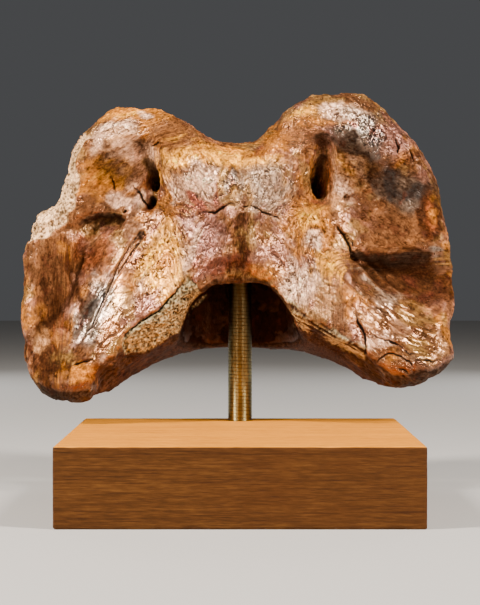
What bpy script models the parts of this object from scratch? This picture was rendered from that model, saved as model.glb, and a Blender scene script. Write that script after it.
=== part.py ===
"""A bison's atlas, the first bone of the neck, held on a brass rod over a wooden block.

The bone stands with its head end up and its upper (dorsal) side to the front, -Y.
Metres, +Z up, origin at the middle of the block's underside.
"""

import math

import bmesh
import bpy
import numpy as np
from mathutils import Vector

MM = 0.001
GAP = 0.0003

# The wooden block.
BASE_WIDTH = 0.156
BASE_DEPTH = 0.156
BASE_HEIGHT = 0.0346
BASE_EDGE = 0.0007

# The brass rod, from its blind hole in the block to its socket in the roof of the bone's canal.
ROD_RADIUS = 0.0059
ROD_SET_BACK = 0.064
ROD_SUNK = 0.018
ROD_TOP = 0.162
ROD_SIDES = 32
ROD_CHAMFER = 0.0010

# The bone's outline seen from the front, (x, z) in millimetres, from the middle of the ventral arch.
CAUDAL_LEFT = [(0, 69), (-20, 68.5), (-33, 65), (-45, 60), (-58, 52), (-70, 46.5)]
LEFT_WING_RIM = [
    (-83, 44.5), (-95, 49), (-101.5, 56), (-104.5, 66), (-104.5, 73), (-107.6, 83), (-106.3, 100),
    (-105.5, 121), (-100.5, 136), (-92.5, 141), (-89.5, 151), (-85.5, 158), (-85.5, 168), (-76, 179),
]
CRANIAL_MARGIN = [
    (-67, 187.5), (-57, 191), (-43, 191.5), (-31, 187.5), (-21, 179), (-14, 174), (-4, 172.5), (6, 173.5),
    (13, 178), (22, 189.5), (31, 196), (48, 199), (60, 197.5), (71, 189),
]
RIGHT_WING_RIM = [
    (82.5, 178), (90.5, 168), (98.5, 150), (102.7, 127), (105, 108.5), (104, 89), (101.5, 77.5),
    (105.5, 69), (97.5, 60), (86.5, 53.5),
]
CAUDAL_RIGHT = [(76, 51), (65, 53.5), (54, 59), (43, 64), (30, 67.5), (15, 69)]
OUTLINE = CAUDAL_LEFT + LEFT_WING_RIM + CRANIAL_MARGIN + RIGHT_WING_RIM + CAUDAL_RIGHT

# The caudal end face, down each side: where the dorsal surface stops, where the broken strip of spongy
# bone ends, and where the joint face below it meets the ventral side. Each is (distance from the middle, z).
LEFT_STRIP_TOP = [(0, 104), (14, 103), (26, 104), (40, 89), (54, 79), (58, 69), (69, 61), (72, 45), (110, 0)]
LEFT_STRIP_END = [(0, 80), (28, 79), (40, 73), (54, 68.5), (69, 60), (72, 44), (110, 0)]
RIGHT_STRIP_TOP = [(0, 104), (12, 103), (21, 95), (30, 87), (44, 77), (61, 69), (68, 61), (75, 51), (110, 0)]
RIGHT_STRIP_END = [(0, 80), (30, 79), (41, 75), (60, 66), (66, 60), (73, 51), (110, 0)]
CAUDAL_LIP = [(0, 69), (25, 67.5), (42, 63), (54, 57), (66, 49), (76, 43), (110, 0)]
STRIP_SHARE = 0.42
LIP_THICKNESS = 8

# The bone leans back as it rises, so that the roof of its canal comes over the rod.
LEAN = math.radians(13)
PIVOT_Z = 0.118

# The slab that the bone is carved from, and the size of its faces.
BLANK_HALF = 0.012
RIM_ROUND = 0.010
BLANK_VOXEL = 0.0024
BONE_VOXEL = 0.0020
BONE_TRIANGLES = 10400

# The canal of the spinal cord: (z, set back from the rod, half width, half depth) in millimetres.
CANAL = [
    (40, -6, 34, 24), (62, -4, 30, 21), (78, -2, 28, 20), (94, 0, 25, 19.5), (110, 3, 23, 19),
    (140, 10, 21, 17), (165, 17, 21, 15), (184, 23, 23, 18), (205, 30, 30, 25),
]
CAUDAL_NOTCH = [
    (-44, 30), (-31, 70), (-28, 82), (-24, 93), (-17, 99), (-12, 102.5), (12, 102.5), (16, 100),
    (22, 93), (27, 84), (31, 72), (44, 30),
]

# The hollows for the skull's condyles.
CUP_RADII = (0.024, 0.021, 0.036)
CUP_SPREAD = 0.0375
CUP_Z = 0.196
CUP_SET_BACK = 0.017
CUP_SPLAY = math.radians(8)

# Nerve and vessel holes: (x, z) at the mouth, (x, z) at the end, half width, half height, depth.
FORAMINA = {
    "left_upper": ((-42.5, 154), (-37, 146), 3.8, 4.8, 17),
    "left_lower": ((-43.5, 142.5), (-40, 138), 3.2, 4.4, 14),
    "right": ((38.5, 152.5), (36, 144), 3.7, 8.0, 18),
    "left_slot": ((-64, 133.5), (-58, 131), 4.8, 2.2, 6),
    "right_pit": ((59, 116), (56, 115), 3.4, 2.4, 6),
}


def clear_scene():
    for obj in list(bpy.data.objects):
        bpy.data.objects.remove(obj)


def material(name, colour, roughness, metallic=0.0):
    made = bpy.data.materials.new(name)
    made.use_nodes = True
    shader = made.node_tree.nodes["Principled BSDF"]
    shader.inputs["Base Color"].default_value = (*colour, 1)
    shader.inputs["Roughness"].default_value = roughness
    shader.inputs["Metallic"].default_value = metallic
    return made


def add_object(name, mesh, finish=None):
    obj = bpy.data.objects.new(name, mesh)
    bpy.context.scene.collection.objects.link(obj)
    if finish:
        mesh.materials.append(finish)
    return obj


def add_cutter(name, shape):
    """Makes a cutter from a bmesh, with its faces pointing out."""
    bmesh.ops.recalc_face_normals(shape, faces=shape.faces)
    mesh = bpy.data.meshes.new(name)
    shape.to_mesh(mesh)
    shape.free()
    cutter = add_object(name, mesh)
    cutter.hide_render = True
    cutter.display_type = "WIRE"
    return cutter


def cut(obj, cutter):
    boolean = obj.modifiers.new(cutter.name, "BOOLEAN")
    boolean.operation = "DIFFERENCE"
    boolean.solver = "EXACT"
    boolean.object = cutter


def apply_modifiers(obj):
    """Replaces the object's mesh with what its modifiers make of it."""
    bpy.context.view_layer.update()
    graph = bpy.context.evaluated_depsgraph_get()
    made = bpy.data.meshes.new_from_object(obj.evaluated_get(graph))
    obj.modifiers.clear()
    obj.data = made


def remesh_and_smooth(obj, voxel, rounds):
    remesh = obj.modifiers.new("even_faces", "REMESH")
    remesh.mode = "VOXEL"
    remesh.voxel_size = voxel
    smooth = obj.modifiers.new("worn", "SMOOTH")
    smooth.factor = 0.5
    smooth.iterations = rounds


def read_points(mesh):
    points = np.empty(len(mesh.vertices) * 3)
    mesh.vertices.foreach_get("co", points)
    return points.reshape(-1, 3)


def write_points(mesh, points):
    mesh.vertices.foreach_set("co", points.ravel())
    mesh.update()


def ramp(value, low, high):
    """0 below low, 1 above high, and smooth between."""
    share = np.clip((value - low) / (high - low), 0, 1)
    return share * share * (3 - 2 * share)


def mound(x, z, centre, radii, turn=0.0):
    """A smooth swelling of height 1, with its long axis turned from x by turn degrees."""
    across, along = x - centre[0], z - centre[1]
    c, s = math.cos(math.radians(turn)), math.sin(math.radians(turn))
    u = (across * c + along * s) / radii[0]
    v = (along * c - across * s) / radii[1]
    return np.exp(-(u * u + v * v))


def ridge(x, z, start, end, width):
    """A smooth ridge of height 1 along the line from start to end."""
    dx, dz = end[0] - start[0], end[1] - start[1]
    share = np.clip(((x - start[0]) * dx + (z - start[1]) * dz) / (dx * dx + dz * dz), 0, 1)
    away = np.hypot(x - start[0] - share * dx, z - start[1] - share * dz)
    return np.exp(-((away / width) ** 2))


def along_profile(distance, profile):
    """Reads a profile of (distance, z) pairs at each distance from the middle."""
    return np.interp(distance, [pair[0] for pair in profile], [pair[1] for pair in profile])


def rim_distance(x, z):
    """How far each point lies from the outline, in millimetres."""
    ends = np.array(OUTLINE, float)
    nearest = np.full(np.shape(x), 1e9)
    for start, end in zip(ends, np.roll(ends, -1, axis=0)):
        side = end - start
        share = np.clip(((x - start[0]) * side[0] + (z - start[1]) * side[1]) / (side @ side), 0, 1)
        away = np.hypot(x - start[0] - share * side[0], z - start[1] - share * side[1])
        nearest = np.minimum(nearest, away)
    return nearest


def ventral_height(x, z):
    """How far the ventral side stands behind the mid-plane, in millimetres."""
    side = np.abs(x)
    rim = rim_distance(x, z)
    body_width = 34 + 28 * ramp(z, 124, 172) + 24 * (1 - ramp(z, 52, 98))
    height = 7 + 30 / (1 + (side / body_width) ** 5)
    height += 9 * mound(x, z, (0, 82), (12, 14))
    height += 4 * ridge(x, z, (0, 92), (0, 140), 9)
    height += 3 * mound(side, z, (36, 160), (16, 16))
    height -= 4 * mound(x, z, (0, 172), (13, 16))
    height -= 6.5 * mound(side, z, (60, 112), (16, 27))
    height += 4 * np.exp(-((rim / 10) ** 2)) * ramp(side, 66, 84)
    height -= 12 * np.exp(-((rim / 9) ** 2)) * ramp(z, 150, 170) * (1 - ramp(side, 60, 80))
    return height


def dorsal_height(x, z):
    """How far the dorsal side stands in front of the mid-plane, in millimetres."""
    side = np.abs(x)
    rim = rim_distance(x, z)
    arch_width = 32 + 28 * ramp(z, 136, 176) + 22 * (1 - ramp(z, 60, 120))
    height = 8 + 26 / (1 + (side / arch_width) ** 4)
    # The arch: a rough knob in its middle, a hollow on each side of it, and a thinner cranial edge.
    height += 4 * ridge(x, z, (-1, 118), (-1, 141), 8)
    height -= 2.5 * mound(side, z, (15, 128), (8, 16))
    height += 3 * mound(side, z, (20, 160), (10, 14))
    height -= 8 * mound(x, z, (0, 176), (20, 13))
    height -= 5 * mound(x, z, (0, 100), (22, 9))
    # The shoulders over the condyles' hollows, and the troughs down to the nerve holes.
    height += 8 * mound(x, z, (-62, 172), (15, 15))
    height += 8 * mound(x, z, (58, 176), (20, 15), -25)
    height -= 9 * ridge(x, z, (-48, 166), (-42, 148), 6)
    height -= 9 * ridge(x, z, (39, 168), (38.5, 148), 6)
    height -= 7 * mound(x, z, (-58, 146), (13, 17))
    height -= 5 * mound(x, z, (59, 141), (12, 16))
    # The left wing: a long valley beside its raised rim, a hollow at the valley's head, and a swelling
    # along the vessel groove.
    height -= 6.5 * ridge(x, z, (-72, 129), (-79, 112), 6)
    height -= 6 * ridge(x, z, (-81, 102), (-84, 82), 8)
    height -= 3 * ridge(x, z, (-82, 130), (-63, 133), 4.5)
    height += 4 * ridge(x, z, (-50, 112), (-64, 72), 13)
    # The right wing: a full upper plate, a wide hollow under it, and a swelling down to its corner.
    height += 5.5 * mound(x, z, (78, 146), (20, 17), -50)
    height -= 8.5 * ridge(x, z, (66, 108), (91, 102), 8.5)
    height += 5 * ridge(x, z, (48, 104), (82, 68), 10)
    # The rims, and the thick caudal corners.
    height += 5 * mound(x, z, (-86, 56), (16, 10))
    height += 5 * mound(x, z, (88, 62), (16, 9))
    height += 5 * np.exp(-((rim / 10) ** 2)) * ramp(side, 70, 88)
    return height


def caudal_slope(x, z):
    """0 where the dorsal side is whole, and 1 where the end face has fallen back to the caudal lip."""
    side = np.abs(x)
    left = x < 0
    top = np.where(left, along_profile(side, LEFT_STRIP_TOP), along_profile(side, RIGHT_STRIP_TOP))
    end = np.where(left, along_profile(side, LEFT_STRIP_END), along_profile(side, RIGHT_STRIP_END))
    lip = along_profile(side, CAUDAL_LIP)
    strip = ramp((top - z) / np.maximum(top - end, 3), 0, 1)
    face = np.clip((end - z) / np.maximum(end - lip, 3), 0, 1)
    return STRIP_SHARE * strip + (1 - STRIP_SHARE) * face


def mid_depth(z):
    """How far the bone's mid-plane lies behind the rod at this height, in metres."""
    return (z - PIVOT_Z) * math.tan(LEAN)


def dorsal_surface(x, z):
    """The place on the dorsal side at x and z in millimetres."""
    depth = ROD_SET_BACK + mid_depth(z * MM) - float(dorsal_height(x, z)) * MM
    return Vector((x * MM, depth, z * MM))


def outline_blank():
    """The outline as a slab with a rounded rim, standing in the XZ plane."""
    curve = bpy.data.curves.new("atlas_outline", "CURVE")
    curve.dimensions = "2D"
    curve.fill_mode = "BOTH"
    curve.extrude = BLANK_HALF - RIM_ROUND
    curve.bevel_depth = RIM_ROUND
    curve.bevel_resolution = 6
    curve.offset = -RIM_ROUND
    spline = curve.splines.new("BEZIER")
    spline.bezier_points.add(len(OUTLINE) - 1)
    for point, (x, z) in zip(spline.bezier_points, OUTLINE):
        point.co = (x * MM, z * MM, 0)
        point.handle_left_type = point.handle_right_type = "AUTO"
    spline.use_cyclic_u = True
    guide = bpy.data.objects.new("atlas_outline", curve)
    bpy.context.scene.collection.objects.link(guide)
    bpy.context.view_layer.update()
    graph = bpy.context.evaluated_depsgraph_get()
    mesh = bpy.data.meshes.new_from_object(guide.evaluated_get(graph))
    bpy.data.objects.remove(guide)
    flat = read_points(mesh)
    write_points(mesh, np.column_stack([flat[:, 0], -flat[:, 2], flat[:, 1]]))
    return mesh


def carve(mesh):
    """Moves each point of the slab to its depth between the dorsal and the ventral side."""
    points = read_points(mesh)
    x, z = points[:, 0] / MM, points[:, 2] / MM
    back = ventral_height(x, z)
    fallen = caudal_slope(x, z)
    front = dorsal_height(x, z) * (1 - fallen) - (back - LIP_THICKNESS) * fallen
    share = (np.clip(points[:, 1] / BLANK_HALF, -1, 1) + 1) / 2
    depth = back * share - front * (1 - share)
    points[:, 1] = depth * MM + mid_depth(points[:, 2]) + ROD_SET_BACK
    write_points(mesh, points)


def loft(name, sections, upright, sides=32):
    """A closed tube through oval sections (centre, half width, half depth), upright or along Y."""
    shape = bmesh.new()
    rings = []
    for centre, half_width, half_depth in sections:
        ring = []
        for step in range(sides):
            angle = math.tau * step / sides
            u, v = half_width * math.cos(angle), half_depth * math.sin(angle)
            offset = Vector((u, v, 0)) if upright else Vector((u, 0, v))
            ring.append(shape.verts.new(Vector(centre) + offset))
        rings.append(ring)
    for low, high in zip(rings, rings[1:]):
        for step in range(sides):
            after = (step + 1) % sides
            shape.faces.new((low[step], low[after], high[after], high[step]))
    shape.faces.new(rings[0])
    shape.faces.new(rings[-1])
    return add_cutter(name, shape)


def canal_cutter():
    sections = []
    for z, set_back, half_width, half_depth in CANAL:
        centre = (0, ROD_SET_BACK + set_back * MM, z * MM)
        sections.append((centre, half_width * MM, half_depth * MM))
    return loft("canal", sections, upright=True, sides=40)


def caudal_notch_cutter():
    """The arched gap in the caudal edge of the dorsal arch, cut from the front as far as the canal."""
    shape = bmesh.new()
    near_y, far_y = ROD_SET_BACK - 0.080, ROD_SET_BACK
    near = [shape.verts.new((x * MM, near_y, z * MM)) for x, z in CAUDAL_NOTCH]
    far = [shape.verts.new((x * MM, far_y, z * MM)) for x, z in CAUDAL_NOTCH]
    shape.faces.new(near)
    shape.faces.new(far)
    for step in range(len(near)):
        after = (step + 1) % len(near)
        shape.faces.new((near[step], far[step], far[after], near[after]))
    return add_cutter("caudal_notch", shape)


def cup_cutter(side):
    """One of the two hollows that the skull's condyles sat in."""
    shape = bmesh.new()
    bmesh.ops.create_uvsphere(shape, u_segments=32, v_segments=20, radius=1)
    for vert in shape.verts:
        vert.co = Vector(size * share for size, share in zip(CUP_RADII, vert.co))
    cutter = add_cutter(f"cup_{side:+d}", shape)
    cutter.location = (side * CUP_SPREAD, ROD_SET_BACK + CUP_SET_BACK, CUP_Z)
    cutter.rotation_euler = (-LEAN, side * CUP_SPLAY, 0)
    return cutter


def foramen_cutter(name, mouth, end, half_width, half_height, depth):
    """A blind hole that narrows from its mouth in the dorsal side to its end."""
    start = dorsal_surface(*mouth)
    inward = Vector(((end[0] - mouth[0]) * MM, depth * MM, (end[1] - mouth[1]) * MM))
    sections = []
    for share, size in ((-0.5, 1.35), (0, 1.1), (0.5, 0.95), (0.85, 0.75), (1, 0.4)):
        sections.append((start + inward * share, half_width * MM * size, half_height * MM * size))
    return loft(f"foramen_{name}", sections, upright=False, sides=16)


def rod_hole_cutter(name, low, high):
    """The rod's own shape with its fitting gap, from low to high."""
    radius = ROD_RADIUS + GAP
    sections = [((0, ROD_SET_BACK, z), radius, radius) for z in (low, high)]
    return loft(name, sections, upright=True, sides=ROD_SIDES)


def build_atlas():
    finish = material("stained_bone", (0.36, 0.19, 0.09), 0.35)
    atlas = add_object("atlas", outline_blank(), finish)
    remesh_and_smooth(atlas, BLANK_VOXEL, 4)
    apply_modifiers(atlas)
    carve(atlas.data)
    cut(atlas, canal_cutter())
    cut(atlas, caudal_notch_cutter())
    for side in (-1, 1):
        cut(atlas, cup_cutter(side))
    for name, sizes in FORAMINA.items():
        cut(atlas, foramen_cutter(name, *sizes))
    remesh_and_smooth(atlas, BONE_VOXEL, 6)
    apply_modifiers(atlas)
    fewer = atlas.modifiers.new("fewer_faces", "DECIMATE")
    fewer.ratio = BONE_TRIANGLES / (2 * len(atlas.data.polygons))
    cut(atlas, rod_hole_cutter("rod_socket", BASE_HEIGHT + 0.02, ROD_TOP + GAP))
    apply_modifiers(atlas)
    atlas.data.shade_smooth()


def build_rod():
    finish = material("brass", (0.72, 0.50, 0.20), 0.3, 1.0)
    bottom = BASE_HEIGHT - ROD_SUNK
    shape = bmesh.new()
    bmesh.ops.create_cone(
        shape, cap_ends=True, segments=ROD_SIDES, radius1=ROD_RADIUS, radius2=ROD_RADIUS,
        depth=ROD_TOP - bottom,
    )
    mesh = bpy.data.meshes.new("stand_rod")
    shape.to_mesh(mesh)
    shape.free()
    rod = add_object("stand_rod", mesh, finish)
    rod.location = (0, ROD_SET_BACK, (ROD_TOP + bottom) / 2)
    chamfer = rod.modifiers.new("chamfer", "BEVEL")
    chamfer.width = ROD_CHAMFER
    chamfer.segments = 1
    mesh.shade_smooth()
    mesh.set_sharp_from_angle(angle=math.radians(30))


def build_base():
    finish = material("hardwood", (0.42, 0.22, 0.10), 0.5)
    shape = bmesh.new()
    bmesh.ops.create_cube(shape, size=1)
    for vert in shape.verts:
        vert.co = Vector((vert.co.x * BASE_WIDTH, vert.co.y * BASE_DEPTH, (vert.co.z + 0.5) * BASE_HEIGHT))
    mesh = bpy.data.meshes.new("stand_base")
    shape.to_mesh(mesh)
    shape.free()
    base = add_object("stand_base", mesh, finish)
    edge = base.modifiers.new("eased_edges", "BEVEL")
    edge.width = BASE_EDGE
    edge.segments = 2
    cut(base, rod_hole_cutter("rod_hole", BASE_HEIGHT - ROD_SUNK - GAP, BASE_HEIGHT + 0.02))


clear_scene()
build_atlas()
build_rod()
build_base()
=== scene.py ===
"""The looks of a bison's atlas on its display stand.

The bone is old, stained in browns and oranges and polished to a gloss, with cream spongy bone where it
It stands on a threaded brass rod in a hardwood block finished with oil.
Lengths are in metres in Blender, and in millimetres wherever a function shapes or colours a surface.
"""

import itertools
import math

import bmesh
import bpy
import numpy as np
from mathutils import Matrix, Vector


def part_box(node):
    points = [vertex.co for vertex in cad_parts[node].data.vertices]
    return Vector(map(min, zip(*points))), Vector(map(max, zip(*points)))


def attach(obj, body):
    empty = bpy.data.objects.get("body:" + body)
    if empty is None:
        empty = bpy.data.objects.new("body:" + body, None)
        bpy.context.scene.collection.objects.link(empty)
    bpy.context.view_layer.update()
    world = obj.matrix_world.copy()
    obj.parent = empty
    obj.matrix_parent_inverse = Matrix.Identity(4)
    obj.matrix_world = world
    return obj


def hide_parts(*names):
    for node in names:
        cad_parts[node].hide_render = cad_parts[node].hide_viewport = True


MM = 0.001

# The camera, 0.82 m in front of the stand's middle and a little over the table. In the photograph's pixels
# its focal length is FOCAL_PIXELS, and its horizon lies HORIZON_PIXELS above the picture's middle.
FOCAL_PIXELS = 1790
HORIZON_PIXELS = 20.5
CAMERA_PLACE = (0, -0.821, 0.103)
CAMERA_PITCH = math.atan(HORIZON_PIXELS / FOCAL_PIXELS)
CAMERA_LENS = 106.5
SENSOR = 36
NEAR_CLIP = 0.01

# The bone's lean, and the rod's place behind the block's middle, as in the solids.
LEAN = math.radians(13)
PIVOT_Z = 118
ROD_SET_BACK = 64

# The bone's mesh: the size of its faces in metres, and how it is smoothed.
BONE_VOXEL = 0.00068
SMOOTHING = 0.5
SMOOTHING_ROUNDS = 7

# The room that the bone and the block leave round the rod, under its foot and over its top.
ROD_GAP = 0.25
FOOT_GAP = 0.3
TOP_GAP = 0.4

# After how many lumps noise repeats, and scattered spots after how many cells.
NOISE_CELLS = 64
SPOT_CELLS = 32

# Holes narrow through ovals: (share of the depth, share of the width).
HOLE_RINGS = [(-0.6, 1.25), (0, 1.08), (0.4, 0.98), (0.8, 0.8), (1, 0.45)]
HOLE_SIDES = 20

# Nerve and vessel holes, sharpened: (x, z) of the mouth and of the end, half width, half height, depth, and
# y of the mouth.
FORAMINA = {
    "left_upper": ((-41.6, 153.5), (-37, 147), 3.2, 4.0, 16, 62),
    "left_lower": ((-43.7, 142.6), (-41, 139), 2.6, 3.8, 13, 61),
    "right": ((39.2, 152.5), (37, 145), 3.0, 7.2, 17, 62),
    "left_slot": ((-63, 133.6), (-58, 132.5), 4.6, 1.6, 6, 60),
    "left_dot": ((-57, 138.3), (-56, 137.5), 1.2, 1.3, 5, 62),
    "right_pit": ((56.6, 115.0), (54.8, 114.4), 2.6, 1.7, 6, 53),
    "right_dot": ((52.7, 144.3), (52.0, 143.8), 2.2, 1.5, 4, 59),
    "strip_dot": ((38.6, 80.6), (38.2, 80.2), 1.0, 2.2, 5, 32),
}

# Lines on the dorsal side, as (x, z) in millimetres. Each crack also has a width and a depth.
VESSEL_GROOVE = [(-48.6, 126.1), (-54.6, 116.3), (-60.6, 106), (-66.5, 92.7), (-70.4, 82.6), (-75.3, 75.6)]
LEFT_VALLEY = [
    (-71, 129), (-76, 122), (-78.7, 114), (-80.2, 106), (-82, 99), (-85, 93.5), (-91, 86), (-95.5, 79.5),
]
LEFT_BROW = [(-92, 129.5), (-80, 132), (-70, 136), (-58, 136)]
LEFT_SLOT = [(-46, 161), (-44, 157), (-42, 152)]
RIGHT_LEDGE = [(44, 131), (52, 119), (56, 116), (64, 114.5), (72, 115.5), (82, 116), (92, 120), (100, 127)]
CRACKS = [
    ([(-24.5, 133.3), (-16.4, 136.7), (-11.8, 136), (-8.3, 139.1), (-4.3, 141.1), (-0.2, 139.4)], 0.75, 1.1),
    ([(-0.2, 139.4), (6.3, 138.9), (10.3, 136.7), (15.4, 135.2), (20, 132.7)], 0.55, 0.9),
    ([(-53, 151.5), (-48, 144.5), (-44.5, 137.5)], 0.9, 0.5),
    ([(-25.9, 105), (-32.4, 96.9), (-39.5, 88.9), (-47.6, 83.8), (-53.6, 79.8), (-55.2, 74.8)], 0.8, 1.3),
    ([(-23, 105.5), (-21.5, 100.5)], 0.45, 0.6),
    ([(-53.7, 81.8), (-64.8, 75.7), (-69.8, 68.7)], 0.45, 0.6),
    ([(-69.7, 65.7), (-74.8, 64.2), (-80.9, 63.1)], 0.5, 0.7),
    ([(47.1, 130.8), (50.8, 126.6), (53.8, 120.5), (55.4, 116.4)], 0.95, 1.6),
    ([(51.5, 128.2), (54.6, 123), (55.6, 118)], 0.4, 0.6),
    ([(14.3, 117.5), (18.3, 114), (22.3, 110.5)], 0.5, 0.7),
    ([(16.8, 105.9), (22.3, 101)], 0.45, 0.7),
    ([(55.9, 89.8), (56.3, 83.8), (59.3, 77.7), (60.7, 71.7), (60.3, 67.6)], 0.8, 1.3),
    ([(59.8, 77.7), (67.9, 76.2), (76, 72.5), (81.1, 69.5), (88, 69)], 0.6, 0.8),
    ([(84, 66.5), (88.7, 65.4), (96, 66.1)], 0.55, 0.9),
    ([(66, 64.5), (69, 68.5), (75.8, 68.7), (80.5, 65.5), (82, 60.5)], 0.7, 1.0),
    ([(75.6, 61.8), (80.6, 59.3)], 0.65, 1.0),
    ([(67.5, 180.5), (71, 175.5), (71.5, 172)], 0.6, 0.9),
    ([(76.3, 173.5), (78.3, 168.2), (77, 164.5)], 0.6, 0.9),
    ([(83.6, 168.2), (86, 162)], 0.55, 0.8),
    ([(-59, 184), (-62.5, 178.5), (-61, 174)], 0.45, 0.6),
    ([(-62.5, 178.5), (-68, 176)], 0.4, 0.5),
    ([(-60, 179.5), (-56.5, 178.7), (-52.6, 176)], 0.45, 0.6),
    ([(-43.5, 168.3), (-40, 169.8), (-36.8, 170.5)], 0.6, 0.7),
    ([(-63, 156), (-62.2, 151), (-61.8, 146.5)], 0.6, 0.7),
]

# Broken patches, as outlines on the dorsal side: two show the spongy bone, and one is splintered.
LEFT_RIM_BREAK = [
    (-73, 176), (-78, 172), (-82, 164), (-79, 152), (-81, 142), (-86, 132), (-94, 126), (-108, 122),
    (-108, 136), (-100, 144), (-93, 146), (-92, 156), (-90, 170), (-82, 178),
]
LEFT_STRIP = [
    (-24.5, 105), (-31.5, 98), (-39, 90), (-47, 84.5), (-53.2, 80.5), (-55.5, 75), (-55.2, 68), (-46, 70),
    (-38, 73), (-30, 78.5), (-25, 88), (-17, 96),
]
RIGHT_STRIP = [(20, 99), (28, 90), (36, 84), (45, 80), (61, 72), (60, 66), (46, 72), (36, 77.5), (28, 80)]
SPLINTER_TURN = math.radians(-32)

# The fibres fan out from a point above the arch, and the right wing's folds follow wide arcs.
FAN_CENTRE = (-12, 192)
ARC_CENTRE = (135, 175)
FOLDED_PLACE = ((71, 96), (28, 9), -42)

# Lumps of the dorsal side, and hollows where the height is below 0: (place, radii, turn, height).
LUMPS = [
    ((-89, 107), (5, 18), 4, 1.7), ((-98, 108), (2.6, 16), 4, 1.0), ((-76, 94), (4, 15), -28, 1.0),
    ((0.5, 148), (3.5, 8), 0, -1.6), ((-8.5, 149), (3, 9), 0, 1.2), ((-1.5, 127), (3, 12), 0, 1.3),
    ((-9, 125), (4.5, 10), 0, -1.0), ((7, 127), (4, 9), 0, -0.8), ((81, 166), (3.5, 3.5), 0, 1.5),
    ((88, 158), (3, 5), 0, 1.3), ((74, 174), (3, 3.5), 0, 1.4), ((77, 169), (2, 3), 0, -1.2),
    ((49, 156), (3.5, 10), 0, -1.0), ((-51, 160), (7, 6), 0, 2.0), ((40, 81), (5.5, 2.2), -35, -1.6),
    ((31, 90), (4, 2), -45, -1.2),
]


def srgb(red, green, blue):
    """A display colour from 0 to 255, as the linear values that a shader takes."""
    share = np.array([red, green, blue]) / 255
    return np.where(share <= 0.04045, share / 12.92, ((share + 0.055) / 1.055) ** 2.4)


def in_mm(box):
    """The two corners of a box of the frame, in millimetres."""
    return [np.array(corner) / MM for corner in box]


def ramp(value, low, high):
    """0 below low, 1 above high, and smooth between."""
    share = np.clip((value - low) / (high - low), 0, 1)
    return share * share * (3 - 2 * share)


def blend(first, second, share):
    """The first value where share is 0, the second where it is 1, and between them in between."""
    return first * (1 - share) + second * share


def bell(away, width):
    """1 where away is 0, falling smoothly to nothing over about two widths."""
    return np.exp(-((away / width) ** 2))


def mound(x, z, centre, radii, turn=0.0):
    """A smooth swelling of height 1, with its long axis turned from x by turn degrees."""
    across, along = x - centre[0], z - centre[1]
    c, s = math.cos(math.radians(turn)), math.sin(math.radians(turn))
    u = (across * c + along * s) / radii[0]
    v = (along * c - across * s) / radii[1]
    return np.exp(-(u * u + v * v))


def mounds(x, z, rows):
    """Several mounds together: (place, radii, turn, height)."""
    return sum(height * mound(x, z, *row) for *row, height in rows)


def noise(points, size, seed):
    """Smooth noise from -1 to 1, in lumps about size across."""
    grid = np.random.default_rng(seed).uniform(-1, 1, (NOISE_CELLS,) * 3)
    place = points / np.asarray(size, float) + 0.37 * seed
    low = np.floor(place).astype(np.int64)
    part = place - low
    part = part**3 * (part * (part * 6 - 15) + 10)
    total = np.zeros(len(points))
    for corner in itertools.product((0, 1), repeat=3):
        index = tuple((low[:, axis] + corner[axis]) % NOISE_CELLS for axis in range(3))
        weight = np.ones(len(points))
        for axis in range(3):
            weight = weight * (part[:, axis] if corner[axis] else 1 - part[:, axis])
        total += grid[index] * weight
    return total


def drift(points, size, seeds):
    """A wandering shift of each point, with a noise of its own for each axis."""
    return np.column_stack([noise(points, size, seed) for seed in seeds])


# Turns the points between two layers of noise, so that their lumps don't line up.
TURN = np.array([[0.36, 0.48, -0.80], [-0.80, 0.60, 0.00], [0.48, 0.64, 0.60]])


def fractal(points, size, octaves, seed):
    """Noise with finer and finer lumps laid over it, from about -1 to 1."""
    total = np.zeros(len(points))
    place = points
    for step in range(octaves):
        place = place @ TURN
        total += noise(place, size / 2**step, seed + step) * 0.55**step
    return total


def ridged(points, size, octaves, seed):
    """Noise with sharp crests, from about -1 at the bottoms to 1 along the crests."""
    total = np.zeros(len(points))
    place = points
    for step in range(octaves):
        place = place @ TURN if step else place
        total += (1 - 3 * np.abs(noise(place, np.asarray(size, float) / 2**step, seed + step))) * 0.5**step
    return total


def cells(points, size, seed):
    """Distances to the nearest two of scattered spots about size apart, as shares of size, and the
    nearest spot's own number from 0 to 1."""
    source = np.random.default_rng(seed)
    jitter = source.uniform(0, 1, (SPOT_CELLS,) * 3 + (3,))
    number = source.uniform(0, 1, (SPOT_CELLS,) * 3)
    place = points / np.asarray(size, float)
    low = np.floor(place).astype(np.int64)
    first = np.full(len(points), 9.0)
    second = np.full(len(points), 9.0)
    own = np.zeros(len(points))
    for corner in itertools.product((-1, 0, 1), repeat=3):
        cell = low + np.array(corner)
        index = tuple((cell % SPOT_CELLS).T)
        away = np.sqrt(((place - cell - jitter[index]) ** 2).sum(1))
        own = np.where(away < first, number[index], own)
        second = np.minimum(second, np.maximum(away, first))
        first = np.minimum(first, away)
    return first, second, own


def spots(points, size, seed, low, high):
    """1 in scattered round spots about size apart, and 0 between them."""
    return 1 - ramp(cells(points, size, seed)[0], low, high)


def segment_distance(x, z, start, end):
    """How far each point lies from a straight stretch, and how far along it that is, 0 to 1."""
    side = end - start
    share = np.clip(((x - start[0]) * side[0] + (z - start[1]) * side[1]) / (side @ side), 0, 1)
    return np.hypot(x - start[0] - share * side[0], z - start[1] - share * side[1]), share


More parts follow.
